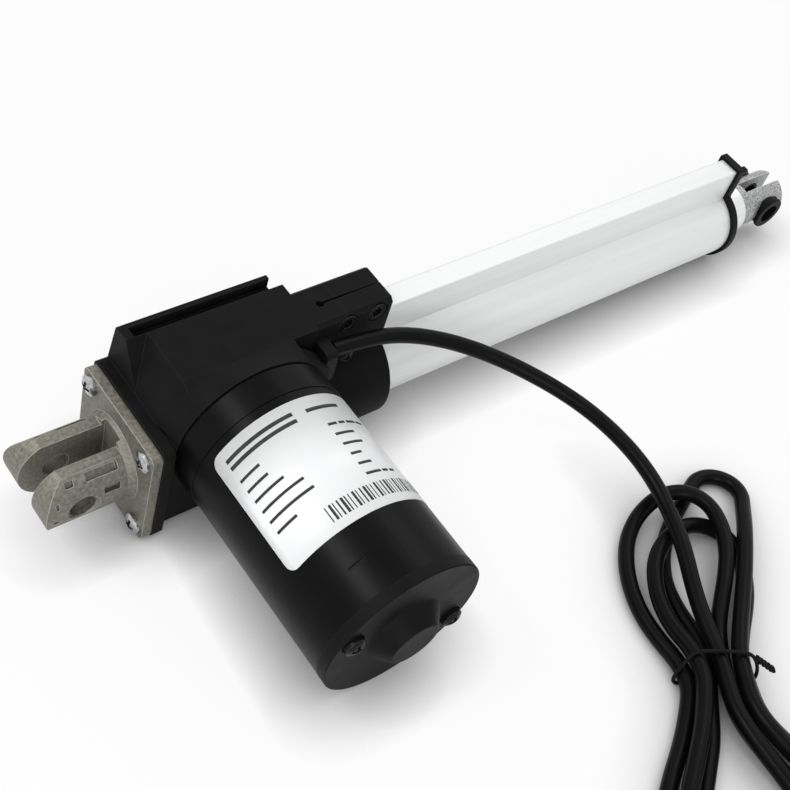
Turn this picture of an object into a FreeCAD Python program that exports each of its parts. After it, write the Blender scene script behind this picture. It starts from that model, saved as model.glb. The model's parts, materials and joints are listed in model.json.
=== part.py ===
import FreeCAD, Part
import math
import os

V = FreeCAD.Vector

# Bed linear actuator, in millimetres, drawn retracted.
# X runs along the stroke, the motor points to -Y and Z is up.
# The origin is the middle of the rear pin bore, on the spindle's axis.

# Driving dimensions of the drive line
pin_to_pin = 375.0
stroke = 200.0
running_gap = 0.05
seat_gap = 0.02

# Rear clevis
plate_x = (20.0, 24.0)
plate_half = 24.0
plate_corner_r = 2.5
ear_r = 16.0
ear_half_height = 13.0
ear_end_r = 14.5
ear_foot_r = 17.2
ear_foot_height = 3.0
rear_slot_half = 5.2
rear_slot_bottom_x = 18.5
rear_pin_r = 5.1
pin_chamfer = 1.2
plate_screw_at = 18.75
plate_screw_r = 2.0
plate_screw_length = 8.0
plate_screw_head = (4.1, 2.8)

# Gearbox housing and split clamp
flange_x = (24.0, 28.5)
flange_half = 24.5
gearbox_end_x = 93.5
gearbox_half = 24.0
top_z = 44.0
slope_foot_z = 25.5
slope_top_x = 36.8
casting_corner_r = 3.0
top_y = (-10.4, 13.7)
rail_end_x = 90.5
rail_edge_y = 20.5
rail_edge_r = 0.8
rail_foot_z = 21.0
rail_buttress_y = 4.0
rail_groove_x = (31.8, 91.5)
rail_groove_y = (13.7, 18.3)
rail_groove_floor_y = 15.6
rail_groove_floor_z = 39.5
clamp_end_x = 128.6
clamp_ring_r = 23.0
clamp_neck_half = 9.55
clamp_neck_chamfer = 1.6
clamp_saw_x = 101.0
clamp_saw_widths = (1.2, 0.4)
clamp_parting_x = (107.6, 108.0)
clamp_parting_depth = 0.25
clamp_stop_hole_r = 1.6
clamp_bolt_at = ((122.4, 39.0), (108.9, 38.7))
clamp_bolt_r = 2.5
clamp_bolt_head_r = 3.9
clamp_bolt_head_length = 5.0
clamp_bolt_sink = 0.2
clamp_bolt_head_gap = 0.55

# Motor, square to the stroke
motor_x = 61.9
motor_z = 18.2
motor_at = (motor_x, motor_z)
collar_r = 32.0
collar_front_y = -21.6
shoulder_end_x = 82.4
collar_flat_back_y = -12.8
collar_flat_end_x = 92.8
collar_flat_overlap = 0.4
collar_flat_sink = 0.15
collar_flat_root = 4.0
gasket_thickness = 1.0
motor_flange_r = 31.8
motor_flange_length = 10.9
motor_flange_wall = 4.5
motor_spigot_r = 20.0
motor_spigot_length = 6.0
motor_case_r = 31.5
motor_case_wall = 2.1
motor_case_end_y = -110.9
motor_crimp_turn = -28.5
motor_crimp_y = (-99.15, -98.25)
motor_crimp_length = 5.6
motor_crimp_depth = 0.5
motor_end_y = -115.4
motor_end_r = 31.6
motor_end_edge_r = 0.5
motor_boss_base_r = 15.0
motor_boss_top_r = 9.5
motor_boss_edge_r = 0.8
motor_boss_height = 6.8
motor_end_screw_radius = 25.9
motor_end_screw_turn = 155.8
motor_end_screw_head = (4.0, 3.6)
motor_end_screw_length = 10.0
motor_end_screw_seat = (4.4, 0.5)
small_screw_r = 1.5
motor_shaft_r = 3.9
motor_shaft_y = (-119.0, 19.0)
motor_rear_bearing_y = (-118.0, -111.0)
worm_end_bearing_y = (12.5, 19.5)
flux_ring_y = (-98.0, -40.0)
flux_ring_wall = 1.6
magnet_y = (-92.0, -46.0)
magnet_thickness = 5.4
magnet_half_width = 24.0
core_y = (-88.0, -50.0)
core_r = 21.5
winding_spans = ((-96.0, -88.0), (-50.0, -43.0))
winding_radii = (18.0, 7.0)
commutator_y = (-105.5, -97.0)
commutator_r = 9.0
brush_y = (-105.0, -99.0)
brush_end = 17.0
brush_post = (23.0, 25.0)
brush_plate_thickness = 2.6
label_y = (-86.5, -37.0)
label_angles = (8.0, 152.0)
label_thickness = 0.12

# Worm drive
wheel_teeth = 26
gear_module = 1.0
wheel_pitch_r = wheel_teeth * gear_module / 2
worm_pitch_r = motor_z - wheel_pitch_r
worm_lead = math.pi * gear_module
worm_turns = 5
tooth_share = 0.36
thread_share = 0.30
root_gap = 0.25
wheel_width = 9.0
wheel_chamber_r = 16.5

# Spindle line
spindle_r = 6.0
spindle_end_x = 320.0
spindle_shoulder_r = 9.0
wheel_seat_r = 7.0
thread_pitch = 4.0
thread_depth = 1.2
bearing_r = 14.0
rear_bearing_x = (26.0, 36.0)
front_bearing_x = (78.0, 88.0)
small_bearing_r = 8.0

# Outer profile and its cap
profile_x = (96.0, 338.0)
profile_r = 17.4
profile_bore_r = 15.0
channel_half = 4.9
channel_top_z = 32.7
channel_wall = 1.6
channel_floor_z = 18.6
finger_slot_half = 1.5
cap_length = 3.5
cap_border = 1.6

# Rod
rod_r = 12.5
rod_bore_r = 10.5
rod_x = (104.0, 355.5)
nut_pin_r = 1.5
nut_flange_r = 14.6
front_clevis_r = 11.0
front_slot_half = 3.0
front_slot_x = 361.5
front_clevis_end_x = 386.5
bush_bore_r = 5.0
bush_sleeve_r = 6.5
bush_collar_r = 7.6
bush_flange_r = 8.3
bush_collar_y = (8.5, 11.2)
bush_flange_y = (11.2, 12.8)

# Cable clamp, cord and hank
cord_r = 3.15
cable_clamp_x = (93.5, 98.5)
cable_clamp_y = (-19.0, -9.55)
cable_clamp_z = (20.5, 37.4)
cable_clamp_corner_r = 2.5
cable_tab_x = (98.5, 114.0)
cable_tab_z = (19.9, 26.9)
cable_tab_y = (-11.6, -9.55)
cable_screw_at = (109.4, 23.4)
cable_screw_head = (3.2, 2.2)
cable_screw_length = 5.6
cable_screw_hole_end = -5.5
cord_route = [
    (98.95, -14.2, 34.24),
    (118.1, -14.2, 32.0),
    (133.3, -16.6, 28.8),
    (147.0, -21.8, 25.3),
    (159.2, -29.0, 21.7),
    (169.8, -37.8, 18.4),
    (178.9, -47.8, 15.5),
    (186.4, -58.8, 13.3),
    (192.1, -70.7, 11.5),
    (195.6, -83.4, 10.0),
    (196.9, -96.5, 8.8),
    (195.6, -109.9, 7.8),
    (191.5, -123.0, 7.0),
]
hank_waist = (167.1, -179.3)
hank_up = (0.56, 0.83)
hank_low = 1.3
hank_lobes = (
    (47.0, 3.0, 42.5, 28.5, 17.0),
    (72.0, -11.5, 20.6, 20.4, 12.0),
    (-52.0, 0.0, 43.5, 37.5, 10.0),
)
hank_waist_x = (-16.0, 16.0)
hank_waist_y = (-12.5, 17.5)
hank_waist_height = 15.0
tie_half_width = 2.2
tie_thickness = 1.2
tie_lock = (6.8, 4.0, 7.0)
plug_at = (-73.7, -39.3)
plug_r = 5.5
plug_lift = 6.1
plug_length = 30.0
plug_sleeve_length = 12.0
plug_tail = 26.0
plug_contact_r = 2.75
plug_contact_bore_r = 1.1
plug_contact_length = 10.0

# The table under the lying actuator: it touches the gearbox, the motor and the profile's cap.
table_level = -28.72
table_slope_x = 0.02858
table_slope_y = -0.1168

AXES = {"x": V(1, 0, 0), "y": V(0, 1, 0), "z": V(0, 0, 1)}


def block(x, y, z):
    """Box between a low and a high limit on each axis."""
    return Part.makeBox(x[1] - x[0], y[1] - y[0], z[1] - z[0], V(x[0], y[0], z[0]))


def start_of(axis, span, at):
    """Base point of a round solid; at holds its other two coordinates in X, Y, Z order."""
    place = list(at)
    place.insert("xyz".index(axis), span[0])
    return V(*place)


def cylinder(axis, radius, span, at=(0, 0)):
    return Part.makeCylinder(radius, span[1] - span[0], start_of(axis, span, at), AXES[axis])


def cone(axis, radii, span, at=(0, 0)):
    return Part.makeCone(*radii, span[1] - span[0], start_of(axis, span, at), AXES[axis])


def ring(axis, outer, inner, span, at=(0, 0)):
    return cylinder(axis, outer, span, at).cut(cylinder(axis, inner, span, at))


def join(*shapes):
    return shapes[0].multiFuse(list(shapes[1:])).removeSplitter()


def carve(shape, *tools):
    return shape.cut(list(tools))


def edges_along(shape, axis):
    lines = [e for e in shape.Edges if isinstance(e.Curve, Part.Line)]
    return [e for e in lines if abs(e.Curve.Direction.dot(AXES[axis])) > 0.999]


def rounded_block(x, y, z, axis, radius):
    """Box with its four edges along one axis rounded."""
    body = block(x, y, z)
    return body.makeFillet(radius, edges_along(body, axis))


def prism(points, step):
    """Closed polygon moved along a vector."""
    outline = Part.makePolygon([V(*p) for p in points + points[:1]])
    return Part.Face(outline).extrude(V(*step))


def placed(shape, position, direction):
    """A copy of a shape drawn along +Z, turned to a direction and moved."""
    copy = shape.copy()
    copy.Placement = FreeCAD.Placement(V(*position), FreeCAD.Rotation(V(0, 0, 1), V(*direction)))
    return copy


def triangle(*corners):
    return Part.Face(Part.makePolygon(list(corners) + [corners[0]]))


def tetrahedron(a, b, c, tip):
    """Solid with flat sides; the corners a, b, c run so that their side faces away from the tip."""
    sides = [triangle(a, b, c), triangle(a, tip, b), triangle(b, tip, c), triangle(a, c, tip)]
    return Part.Solid(Part.Shell(sides))


def around_motor(shape, angle):
    """A copy turned about the motor's axis."""
    copy = shape.copy()
    copy.rotate(V(motor_x, 0, motor_z), AXES["y"], angle)
    return copy


# Fasteners


def pan_screw(head_r, head_height, shank_r, shank_length):
    """Pan-head screw with a cross recess: the head stands above Z = 0."""
    dome_r = 1.6 * head_r
    dome = Part.makeSphere(dome_r, V(0, 0, head_height - dome_r))
    head = cylinder("z", head_r, (0, head_height)).common(dome)
    recess_half = 0.18 * head_r
    recess_reach = 0.62 * head_r
    recess_z = (0.3 * head_height, head_height)
    long_way = (-recess_reach, recess_reach)
    short_way = (-recess_half, recess_half)
    head = carve(head, block(long_way, short_way, recess_z), block(short_way, long_way, recess_z))
    return join(head, cylinder("z", shank_r, (-shank_length, 0)))


def socket_bolt(head_r, head_length, shank_r, shank_length):
    """Socket-head bolt: the head stands above Z = 0."""
    socket_r = 0.64 * head_r
    socket_depth = 0.6 * head_length
    floor_z = head_length - socket_depth
    turns = [k * math.pi / 3 for k in range(6)]
    hexagon = [(socket_r * math.cos(turn), socket_r * math.sin(turn), floor_z) for turn in turns]
    socket = prism(hexagon, (0, 0, socket_depth))
    head = carve(cylinder("z", head_r, (0, head_length)), socket)
    return join(head, cylinder("z", shank_r, (-shank_length, 0)))


def ball_bearing(axis, outer_r, bore_r, span, at=(0, 0)):
    """Closed bearing with a shallow groove in each face between its two rings."""
    groove_depth = 0.8
    step = (outer_r - bore_r) / 4
    faces = ((span[0], span[0] + groove_depth), (span[1] - groove_depth, span[1]))
    grooves = [ring(axis, outer_r - step, bore_r + step, face, at) for face in faces]
    return carve(ring(axis, outer_r, bore_r, span, at), *grooves)


def spindle_bearing(span):
    return ball_bearing("x", bearing_r, spindle_r + running_gap, span)


def shaft_bearing(outer_r, span):
    return ball_bearing("y", outer_r, motor_shaft_r + running_gap, span, motor_at)


# Rear clevis

PLATE_SIDES = (-plate_screw_at, plate_screw_at)
PLATE_CORNERS = [(y, z) for y in PLATE_SIDES for z in PLATE_SIDES]


def ear_pocket(x, angle, width, depth):
    """Tool for a shallow casting pocket in the round side of the near ear."""
    tool = block(x, (-ear_r - 1, -ear_r + depth), (-width / 2, width / 2))
    tool.rotate(V(0, 0, 0), AXES["x"], -angle)
    return tool


def rear_clevis():
    sides = (-ear_r, ear_r)
    height = (-ear_half_height, ear_half_height)
    reach = (-ear_end_r, plate_x[0])
    outline = cylinder("y", ear_end_r, sides).fuse(block((0, plate_x[0]), sides, height))
    ears = cylinder("x", ear_r, reach).common(outline).common(block(reach, sides, height))
    foot = cone("x", (ear_r, ear_foot_r), (plate_x[0] - ear_foot_height, plate_x[0]))
    plate_span = (-plate_half, plate_half)
    plate = rounded_block(plate_x, plate_span, plate_span, "x", plate_corner_r)
    body = join(plate, foot, ears)
    slot = block((-ear_end_r - 1, rear_slot_bottom_x), (-rear_slot_half, rear_slot_half), (-30, 30))
    bore = cylinder("y", rear_pin_r, (-ear_r - 1, ear_r + 1))
    flare = (rear_pin_r + pin_chamfer, rear_pin_r)
    near_flare = cone("y", flare, (-ear_r, -ear_r + pin_chamfer))
    pockets = [
        ear_pocket((2.0, 14.2), 45.0, 3.2, 2.2),
        ear_pocket((7.8, 14.0), 17.0, 3.0, 2.6),
        ear_pocket((-5.8, -2.8), 44.0, 2.4, 2.0),
        ear_pocket((-10.4, -9.4), 20.0, 2.6, 1.2),
        ear_pocket((-11.4, -9.4), -8.0, 1.8, 1.6),
    ]
    near_tools = [near_flare] + pockets
    far_tools = [tool.mirror(V(0, 0, 0), AXES["y"]) for tool in near_tools]
    screw_holes = [cylinder("x", plate_screw_r + seat_gap, plate_x, at) for at in PLATE_CORNERS]
    return carve(body, slot, bore, *near_tools, *far_tools, *screw_holes)


def rear_clevis_screws():
    screw = pan_screw(*plate_screw_head, plate_screw_r, plate_screw_length)
    return Part.makeCompound([placed(screw, (plate_x[0], *at), (-1, 0, 0)) for at in PLATE_CORNERS])


# Gearbox housing


def accessory_rail():
    """Rail along the far side of the top, with a leaning far side and a buttress at its rear end."""
    rear = flange_x[1]
    section = [
        (rear, top_y[1], 0),
        (rear, top_y[1], top_z),
        (rear, rail_edge_y, top_z),
        (rear, gearbox_half, rail_foot_z),
        (rear, gearbox_half, 0),
    ]
    rail = prism(section, (rail_end_x - rear, 0, 0))
    top_edges = [e for e in edges_along(rail, "x") if e.CenterOfMass.z > top_z - 1]
    rail = rail.makeFillet(rail_edge_r, [e for e in top_edges if e.CenterOfMass.y > rail_edge_y - 1])
    foot = V(rear, top_y[1], slope_foot_z)
    corner = V(rear, top_y[1], top_z)
    crest = V(slope_top_x, top_y[1], top_z)
    tip = V(rear, rail_buttress_y, slope_foot_z)
    return join(rail, tetrahedron(foot, corner, crest, tip))


def rail_groove():
    """Tool for the groove beside the rail, its near wall leaning."""
    start, end = rail_groove_x
    lean = (rail_groove_floor_y - rail_groove_y[0]) / (top_z - rail_groove_floor_z)
    above = 1.0
    section = [
        (start, rail_groove_y[0] - lean * above, top_z + above),
        (start, rail_groove_floor_y, rail_groove_floor_z),
        (start, rail_groove_y[1], rail_groove_floor_z),
        (start, rail_groove_y[1], top_z + above),
    ]
    return prism(section, (end - start, 0, 0))


def collar_height(x):
    return motor_z + math.sqrt(collar_r**2 - (x - motor_x) ** 2)


def collar_point(x):
    return V(x, collar_front_y, collar_height(x))


def collar_arc(start_x, end_x):
    middle = collar_point((start_x + end_x) / 2)
    return Part.Arc(collar_point(start_x), middle, collar_point(end_x)).toShape()


def shoulder():
    """Blend from the straight near edge of the top to the round collar."""
    back_y, end_x = top_y[0], shoulder_end_x
    side_x = motor_x - math.sqrt(collar_r**2 - (slope_foot_z - motor_z) ** 2)
    back = [
        V(flange_x[1], back_y, 0),
        V(flange_x[1], back_y, slope_foot_z),
        V(slope_top_x, back_y, top_z),
        V(end_x, back_y, top_z),
        V(end_x, back_y, 0),
    ]
    low_rear = V(side_x, collar_front_y, 0)
    low_end = V(end_x, collar_front_y, 0)
    front = [
        Part.LineSegment(low_rear, collar_point(side_x)).toShape(),
        collar_arc(side_x, slope_top_x),
        collar_arc(slope_top_x, end_x),
        Part.LineSegment(collar_point(end_x), low_end).toShape(),
        Part.LineSegment(low_end, low_rear).toShape(),
    ]
    return Part.makeLoft([Part.makePolygon(back + back[:1]), Part.Wire(front)], True, True)


def collar_flat():
    """Flat that leaves the collar along its tangent and ends at the gearbox's end face."""
    start_x, end_x = shoulder_end_x - collar_flat_overlap, collar_flat_end_x
    start_z = collar_height(start_x) - collar_flat_sink
    fall = (shoulder_end_x - motor_x) / (collar_height(shoulder_end_x) - motor_z)
    end_z = start_z - fall * (end_x - start_x)
    root_x = start_x - collar_flat_root
    section = [
        (root_x, collar_front_y, 0),
        (root_x, collar_front_y, start_z - collar_flat_root),
        (start_x, collar_front_y, start_z),
        (end_x, collar_front_y, end_z),
        (gearbox_end_x, collar_front_y, end_z - (gearbox_end_x - end_x)),
        (gearbox_end_x, collar_front_y, 0),
    ]
    return prism(section, (0, collar_flat_back_y - collar_front_y, 0))


def housing_shell():
    """Outside of the casting: flange, gearbox, top with its rail, motor collar and clamp."""
    flange_span_y = (-flange_half, flange_half)
    flange = rounded_block(flange_x, flange_span_y, (-flange_half, slope_foot_z), "x", casting_corner_r)
    gearbox_x = (flange_x[1], gearbox_end_x)
    gearbox_y = (collar_front_y, gearbox_half)
    base = rounded_block(gearbox_x, gearbox_y, (-gearbox_half, gearbox_half), "x", casting_corner_r)
    side = [
        (flange_x[1], top_y[0], 0),
        (flange_x[1], top_y[0], slope_foot_z),
        (slope_top_x, top_y[0], top_z),
        (gearbox_end_x, top_y[0], top_z),
        (gearbox_end_x, top_y[0], 0),
    ]
    top = prism(side, (0, top_y[1] - top_y[0], 0))
    clamp_x = (gearbox_end_x, clamp_end_x)
    clamp_ring = cylinder("x", clamp_ring_r, clamp_x)
    neck = block(clamp_x, (-clamp_neck_half, clamp_neck_half), (0, top_z))
    neck_edges = [e for e in edges_along(neck, "x") if e.CenterOfMass.z > top_z - 1]
    neck = neck.makeChamfer(clamp_neck_chamfer, neck_edges)
    return join(flange, base, top, accessory_rail(), shoulder(), collar_flat(), clamp_ring, neck)


def clamp_saw():
    """Tool for the slot in the clamp, drawn together at its open end by the bolts."""
    far = clamp_end_x + 1
    half, end_half = clamp_saw_widths[0] / 2, clamp_saw_widths[1] / 2
    outline = [(clamp_saw_x, -half), (far, -end_half), (far, end_half), (clamp_saw_x, half)]
    return prism([(x, y, channel_top_z) for x, y in outline], (0, 0, top_z + 1 - channel_top_z))


def gearbox_housing():
    far = clamp_end_x + 1
    bearing_bore_r = bearing_r + seat_gap
    rear_bore = cylinder("x", bearing_bore_r, (flange_x[0], rear_bearing_x[1]))
    chamber = cylinder("x", wheel_chamber_r, (rear_bearing_x[1], front_bearing_x[0]))
    front_bore = cylinder("x", bearing_bore_r, (front_bearing_x[0], profile_x[0]))
    worm_bore = cylinder("y", small_bearing_r + seat_gap, (collar_front_y, worm_end_bearing_y[1]), motor_at)
    spigot_y = (collar_front_y, collar_front_y - gasket_thickness + motor_spigot_length)
    spigot_bore = cylinder("y", motor_spigot_r + seat_gap, spigot_y, motor_at)
    socket = cylinder("x", profile_r + seat_gap, (profile_x[0], far))
    channel_y = (-channel_half - seat_gap, channel_half + seat_gap)
    channel = block((profile_x[0], far), channel_y, (0, channel_top_z + seat_gap))
    stop_hole = cylinder("z", clamp_stop_hole_r, (channel_top_z, top_z + 1), (clamp_saw_x, 0))
    past_neck = (-clamp_neck_half - 1, clamp_neck_half + 1)
    parting_line = block(clamp_parting_x, past_neck, (top_z - clamp_parting_depth, top_z + 1))
    tools = [rear_bore, chamber, front_bore, worm_bore, spigot_bore, socket, channel]
    tools += [clamp_saw(), stop_hole, parting_line, rail_groove()]
    screw_x = (flange_x[0], plate_x[0] + plate_screw_length + 0.3)
    for at in PLATE_CORNERS:
        tools.append(cylinder("x", plate_screw_r + seat_gap, screw_x, at))
    head_y = (past_neck[0], -clamp_neck_half + clamp_bolt_head_length + clamp_bolt_sink)
    for at in clamp_bolt_at:
        tools.append(cylinder("y", clamp_bolt_r + seat_gap, past_neck, at))
        tools.append(cylinder("y", clamp_bolt_head_r + clamp_bolt_head_gap, head_y, at))
    cable_screw_y = (past_neck[0], cable_screw_hole_end)
    tools.append(cylinder("y", small_screw_r + seat_gap, cable_screw_y, cable_screw_at))
    return carve(housing_shell(), *tools)


def clamp_bolts():
    bolt = socket_bolt(clamp_bolt_head_r, clamp_bolt_head_length, clamp_bolt_r, 2 * clamp_neck_half - 6.5)
    seat_y = -clamp_neck_half + clamp_bolt_head_length + clamp_bolt_sink
    return Part.makeCompound([placed(bolt, (x, seat_y, z), (0, -1, 0)) for x, z in clamp_bolt_at])


# Spindle line


def spindle():
    """Spindle with journals, wheel seat and a ringed stand-in for its trapezoid thread."""
    wheel_x = motor_x - wheel_width / 2
    outline = [
        (rear_bearing_x[0] - 0.5, 0),
        (rear_bearing_x[0] - 0.5, spindle_r),
        (rear_bearing_x[1] + 0.3, spindle_r),
        (rear_bearing_x[1] + 0.3, spindle_shoulder_r),
        (wheel_x, spindle_shoulder_r),
        (wheel_x, wheel_seat_r),
        (front_bearing_x[0] - 0.3, wheel_seat_r),
        (front_bearing_x[0] - 0.3, spindle_r),
    ]
    thread_start = profile_x[0]
    for k in range(int((spindle_end_x - thread_start) / thread_pitch)):
        x = thread_start + k * thread_pitch
        root = spindle_r - thread_depth
        outline += [(x + 1.2, spindle_r), (x + 1.8, root), (x + 3.0, root), (x + 3.6, spindle_r)]
    outline += [(spindle_end_x, spindle_r), (spindle_end_x, 0)]
    face = Part.Face(Part.makePolygon([V(x, 0, r) for x, r in outline + outline[:1]]))
    body = face.revolve(V(0, 0, 0), AXES["x"], 360)
    clip_groove = ring("x", wheel_seat_r + 1, wheel_seat_r - 0.8, circlip_x())
    return carve(body, wheel_key(), clip_groove)


def circlip_x():
    start = motor_x + wheel_width / 2
    return (start, start + 1.5)


def wheel_key():
    return block((motor_x - 4.0, motor_x + 4.0), (-1.5, 1.5), (wheel_seat_r - 1.8, wheel_seat_r + 1.6))


def spindle_circlip():
    clip = ring("x", wheel_seat_r + 2.0, wheel_seat_r - 0.8 + seat_gap, circlip_x())
    gap = block(circlip_x(), (-2.5, 2.5), (0, spindle_shoulder_r + 2))
    return carve(clip, gap)


def worm_wheel():
    """Wheel with straight slanted teeth that follow the worm's lead angle."""
    tip_r = wheel_pitch_r + gear_module
    root_r = wheel_pitch_r - gear_module - root_gap
    pitch_angle = 2 * math.pi / wheel_teeth
    half_tooth = tooth_share * pitch_angle / 2
    flank = math.tan(math.radians(20)) / wheel_pitch_r
    lead_angle = worm_lead / (2 * math.pi * worm_pitch_r)
    root_half = half_tooth + flank * (wheel_pitch_r - root_r)
    tip_half = half_tooth - flank * (tip_r - wheel_pitch_r)
    tooth = ((-root_half, root_r), (-tip_half, tip_r), (tip_half, tip_r), (root_half, root_r))
    rims = []
    for x in (-wheel_width / 2, wheel_width / 2):
        twist = x * lead_angle / wheel_pitch_r
        points = []
        for k in range(wheel_teeth):
            middle = (k + 0.5) * pitch_angle + twist
            for turn, r in tooth:
                angle = middle + turn
                points.append(V(motor_x + x, -r * math.sin(angle), r * math.cos(angle)))
        rims.append(Part.makePolygon(points + points[:1]))
    body = Part.makeLoft(rims, True, True)
    bore = cylinder("x", wheel_seat_r + seat_gap, (motor_x - wheel_width, motor_x + wheel_width))
    return carve(body, bore, wheel_key())


def preload_washer():
    return ring("x", bearing_r - 0.5, spindle_r + 2.0, (plate_x[1], rear_bearing_x[0]))


def bearing_spacer():
    return ring("x", bearing_r, spindle_r + 3.0, (front_bearing_x[1], profile_x[0]))


# Motor


def motor_shaft():
    """Shaft with the worm cut on its inner end, right-handed, in mesh with the wheel at rest."""
    crest_r = worm_pitch_r + gear_module
    shaft = cylinder("y", motor_shaft_r, motor_shaft_y, motor_at)
    half = thread_share * worm_lead / 2
    flare = math.tan(math.radians(20))
    sunk = 0.3
    root_half = half + flare * (worm_pitch_r - motor_shaft_r + sunk)
    crest_half = half - flare * gear_module
    length = worm_turns * worm_lead
    corners = [
        (motor_shaft_r - sunk, -root_half),
        (crest_r, -crest_half),
        (crest_r, crest_half),
        (motor_shaft_r - sunk, root_half),
    ]
    section = Part.makePolygon([V(r, 0, s) for r, s in corners + corners[:1]])
    helix = Part.makeHelix(worm_lead, length, worm_pitch_r)
    thread = Part.Wire(helix).makePipeShell([section], True, True)
    thread.translate(V(0, 0, worm_lead / 4 - length / 2))
    thread.Placement = FreeCAD.Placement(
        V(motor_x, 0, motor_z), FreeCAD.Rotation(V(0, 0, 1), V(0, 1, 0))
    ).multiply(thread.Placement)
    return shaft.fuse(thread)


def motor_gasket():
    y = (collar_front_y - gasket_thickness, collar_front_y)
    return ring("y", collar_r - 1.0, motor_spigot_r + seat_gap, y, motor_at)


def flange_span():
    start = collar_front_y - gasket_thickness
    return (start - motor_flange_length, start)


def front_bearing_span():
    start = flange_span()[1]
    return (start - motor_flange_wall, start + 2.5)


def motor_flange():
    low, high = flange_span()
    wall_y = high - motor_flange_wall
    inner_r = motor_case_r - motor_case_wall - seat_gap
    rim = ring("y", motor_flange_r, inner_r - 2.0, (low, wall_y), motor_at)
    disc = cylinder("y", motor_flange_r, (wall_y, high), motor_at)
    lip = ring("y", inner_r, inner_r - 2.0, (low - 3.5, low), motor_at)
    spigot = cylinder("y", motor_spigot_r, (high, high + motor_spigot_length - 0.1), motor_at)
    body = join(rim, disc, lip, spigot)
    seat = cylinder("y", small_bearing_r + 1 + seat_gap, front_bearing_span(), motor_at)
    shaft_hole = cylinder("y", motor_shaft_r + 0.8, (low, high + motor_spigot_length), motor_at)
    return carve(body, seat, shaft_hole)


def motor_case():
    """Drawn tube with a short crimp mark near its end."""
    span = (motor_case_end_y, flange_span()[0])
    tube = ring("y", motor_case_r, motor_case_r - motor_case_wall, span, motor_at)
    crimp_x = (motor_x - motor_crimp_length / 2, motor_x + motor_crimp_length / 2)
    crown_z = motor_z + motor_case_r
    crimp = block(crimp_x, motor_crimp_y, (crown_z - motor_crimp_depth, crown_z + 1))
    return carve(tube, around_motor(crimp, motor_crimp_turn))


def end_screw_places():
    """Middles of the two end screws, on a line slightly off level."""
    places = []
    for turn in (motor_end_screw_turn, motor_end_screw_turn + 180.0):
        angle = math.radians(turn)
        x = motor_x + motor_end_screw_radius * math.cos(angle)
        places.append((x, motor_z + motor_end_screw_radius * math.sin(angle)))
    return places


def motor_end_cap():
    disc = cylinder("y", motor_end_r, (motor_end_y, motor_case_end_y), motor_at)
    outer_rim = [e for e in disc.Edges if abs(e.BoundBox.YMax - motor_end_y) < 0.01]
    disc = disc.makeFillet(motor_end_edge_r, outer_rim)
    boss_y = (motor_end_y - motor_boss_height, motor_end_y)
    boss = cone("y", (motor_boss_top_r, motor_boss_base_r), boss_y, motor_at)
    boss_top = [e for e in boss.Edges if abs(e.BoundBox.YMax - boss_y[0]) < 0.01]
    boss = boss.makeFillet(motor_boss_edge_r, boss_top)
    bearing_end = motor_rear_bearing_y[0]
    seat = cylinder("y", small_bearing_r + seat_gap, (bearing_end, motor_case_end_y), motor_at)
    shaft_hole = cylinder("y", motor_shaft_r + 0.6, (bearing_end - 2.0, bearing_end), motor_at)
    seat_r, seat_depth = motor_end_screw_seat
    tools = [seat, shaft_hole]
    for at in end_screw_places():
        tools.append(cylinder("y", small_screw_r + seat_gap, (motor_end_y, motor_case_end_y), at))
        tools.append(cylinder("y", seat_r, (motor_end_y - 1, motor_end_y + seat_depth), at))
    return carve(join(disc, boss), *tools)


def motor_end_screws():
    screw = pan_screw(*motor_end_screw_head, small_screw_r, motor_end_screw_length)
    seat_y = motor_end_y + motor_end_screw_seat[1]
    return Part.makeCompound([placed(screw, (x, seat_y, z), (0, -1, 0)) for x, z in end_screw_places()])


def flux_ring():
    outer_r = motor_case_r - motor_case_wall - seat_gap
    return ring("y", outer_r, outer_r - flux_ring_wall, flux_ring_y, motor_at)


def motor_magnets():
    """Two curved magnets inside the flux ring."""
    outer_r = motor_case_r - motor_case_wall - flux_ring_wall - 0.1
    arc = ring("y", outer_r, outer_r - magnet_thickness, magnet_y, motor_at)
    upper_x = (motor_x - magnet_half_width, motor_x + magnet_half_width)
    upper = arc.common(block(upper_x, magnet_y, (motor_z, motor_z + motor_case_r)))
    return Part.makeCompound([upper, around_motor(upper, 180)])


def armature_core():
    """Slotted core on the shaft."""
    core = ring("y", core_r, motor_shaft_r + seat_gap, core_y, motor_at)
    slot = block((motor_x - 1.6, motor_x + 1.6), core_y, (motor_z + 11, motor_z + 19))
    mouth = block((motor_x - 0.7, motor_x + 0.7), core_y, (motor_z + 18, motor_z + core_r + 1.5))
    slots = 12
    tools = [around_motor(tool, k * 360 / slots) for k in range(slots) for tool in (slot, mouth)]
    return carve(core, *tools)


def armature_windings():
    """Wound ends on both faces of the core."""
    return Part.makeCompound([ring("y", *winding_radii, span, motor_at) for span in winding_spans])


def commutator():
    """Barrel with its bars parted by narrow grooves."""
    bars = 12
    barrel = ring("y", commutator_r, motor_shaft_r + seat_gap, commutator_y, motor_at)
    groove_z = (motor_z + commutator_r - 0.8, motor_z + commutator_r + 1)
    groove = block((motor_x - 0.3, motor_x + 0.3), commutator_y, groove_z)
    return carve(barrel, *[around_motor(groove, k * 360 / bars) for k in range(bars)])


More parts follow.
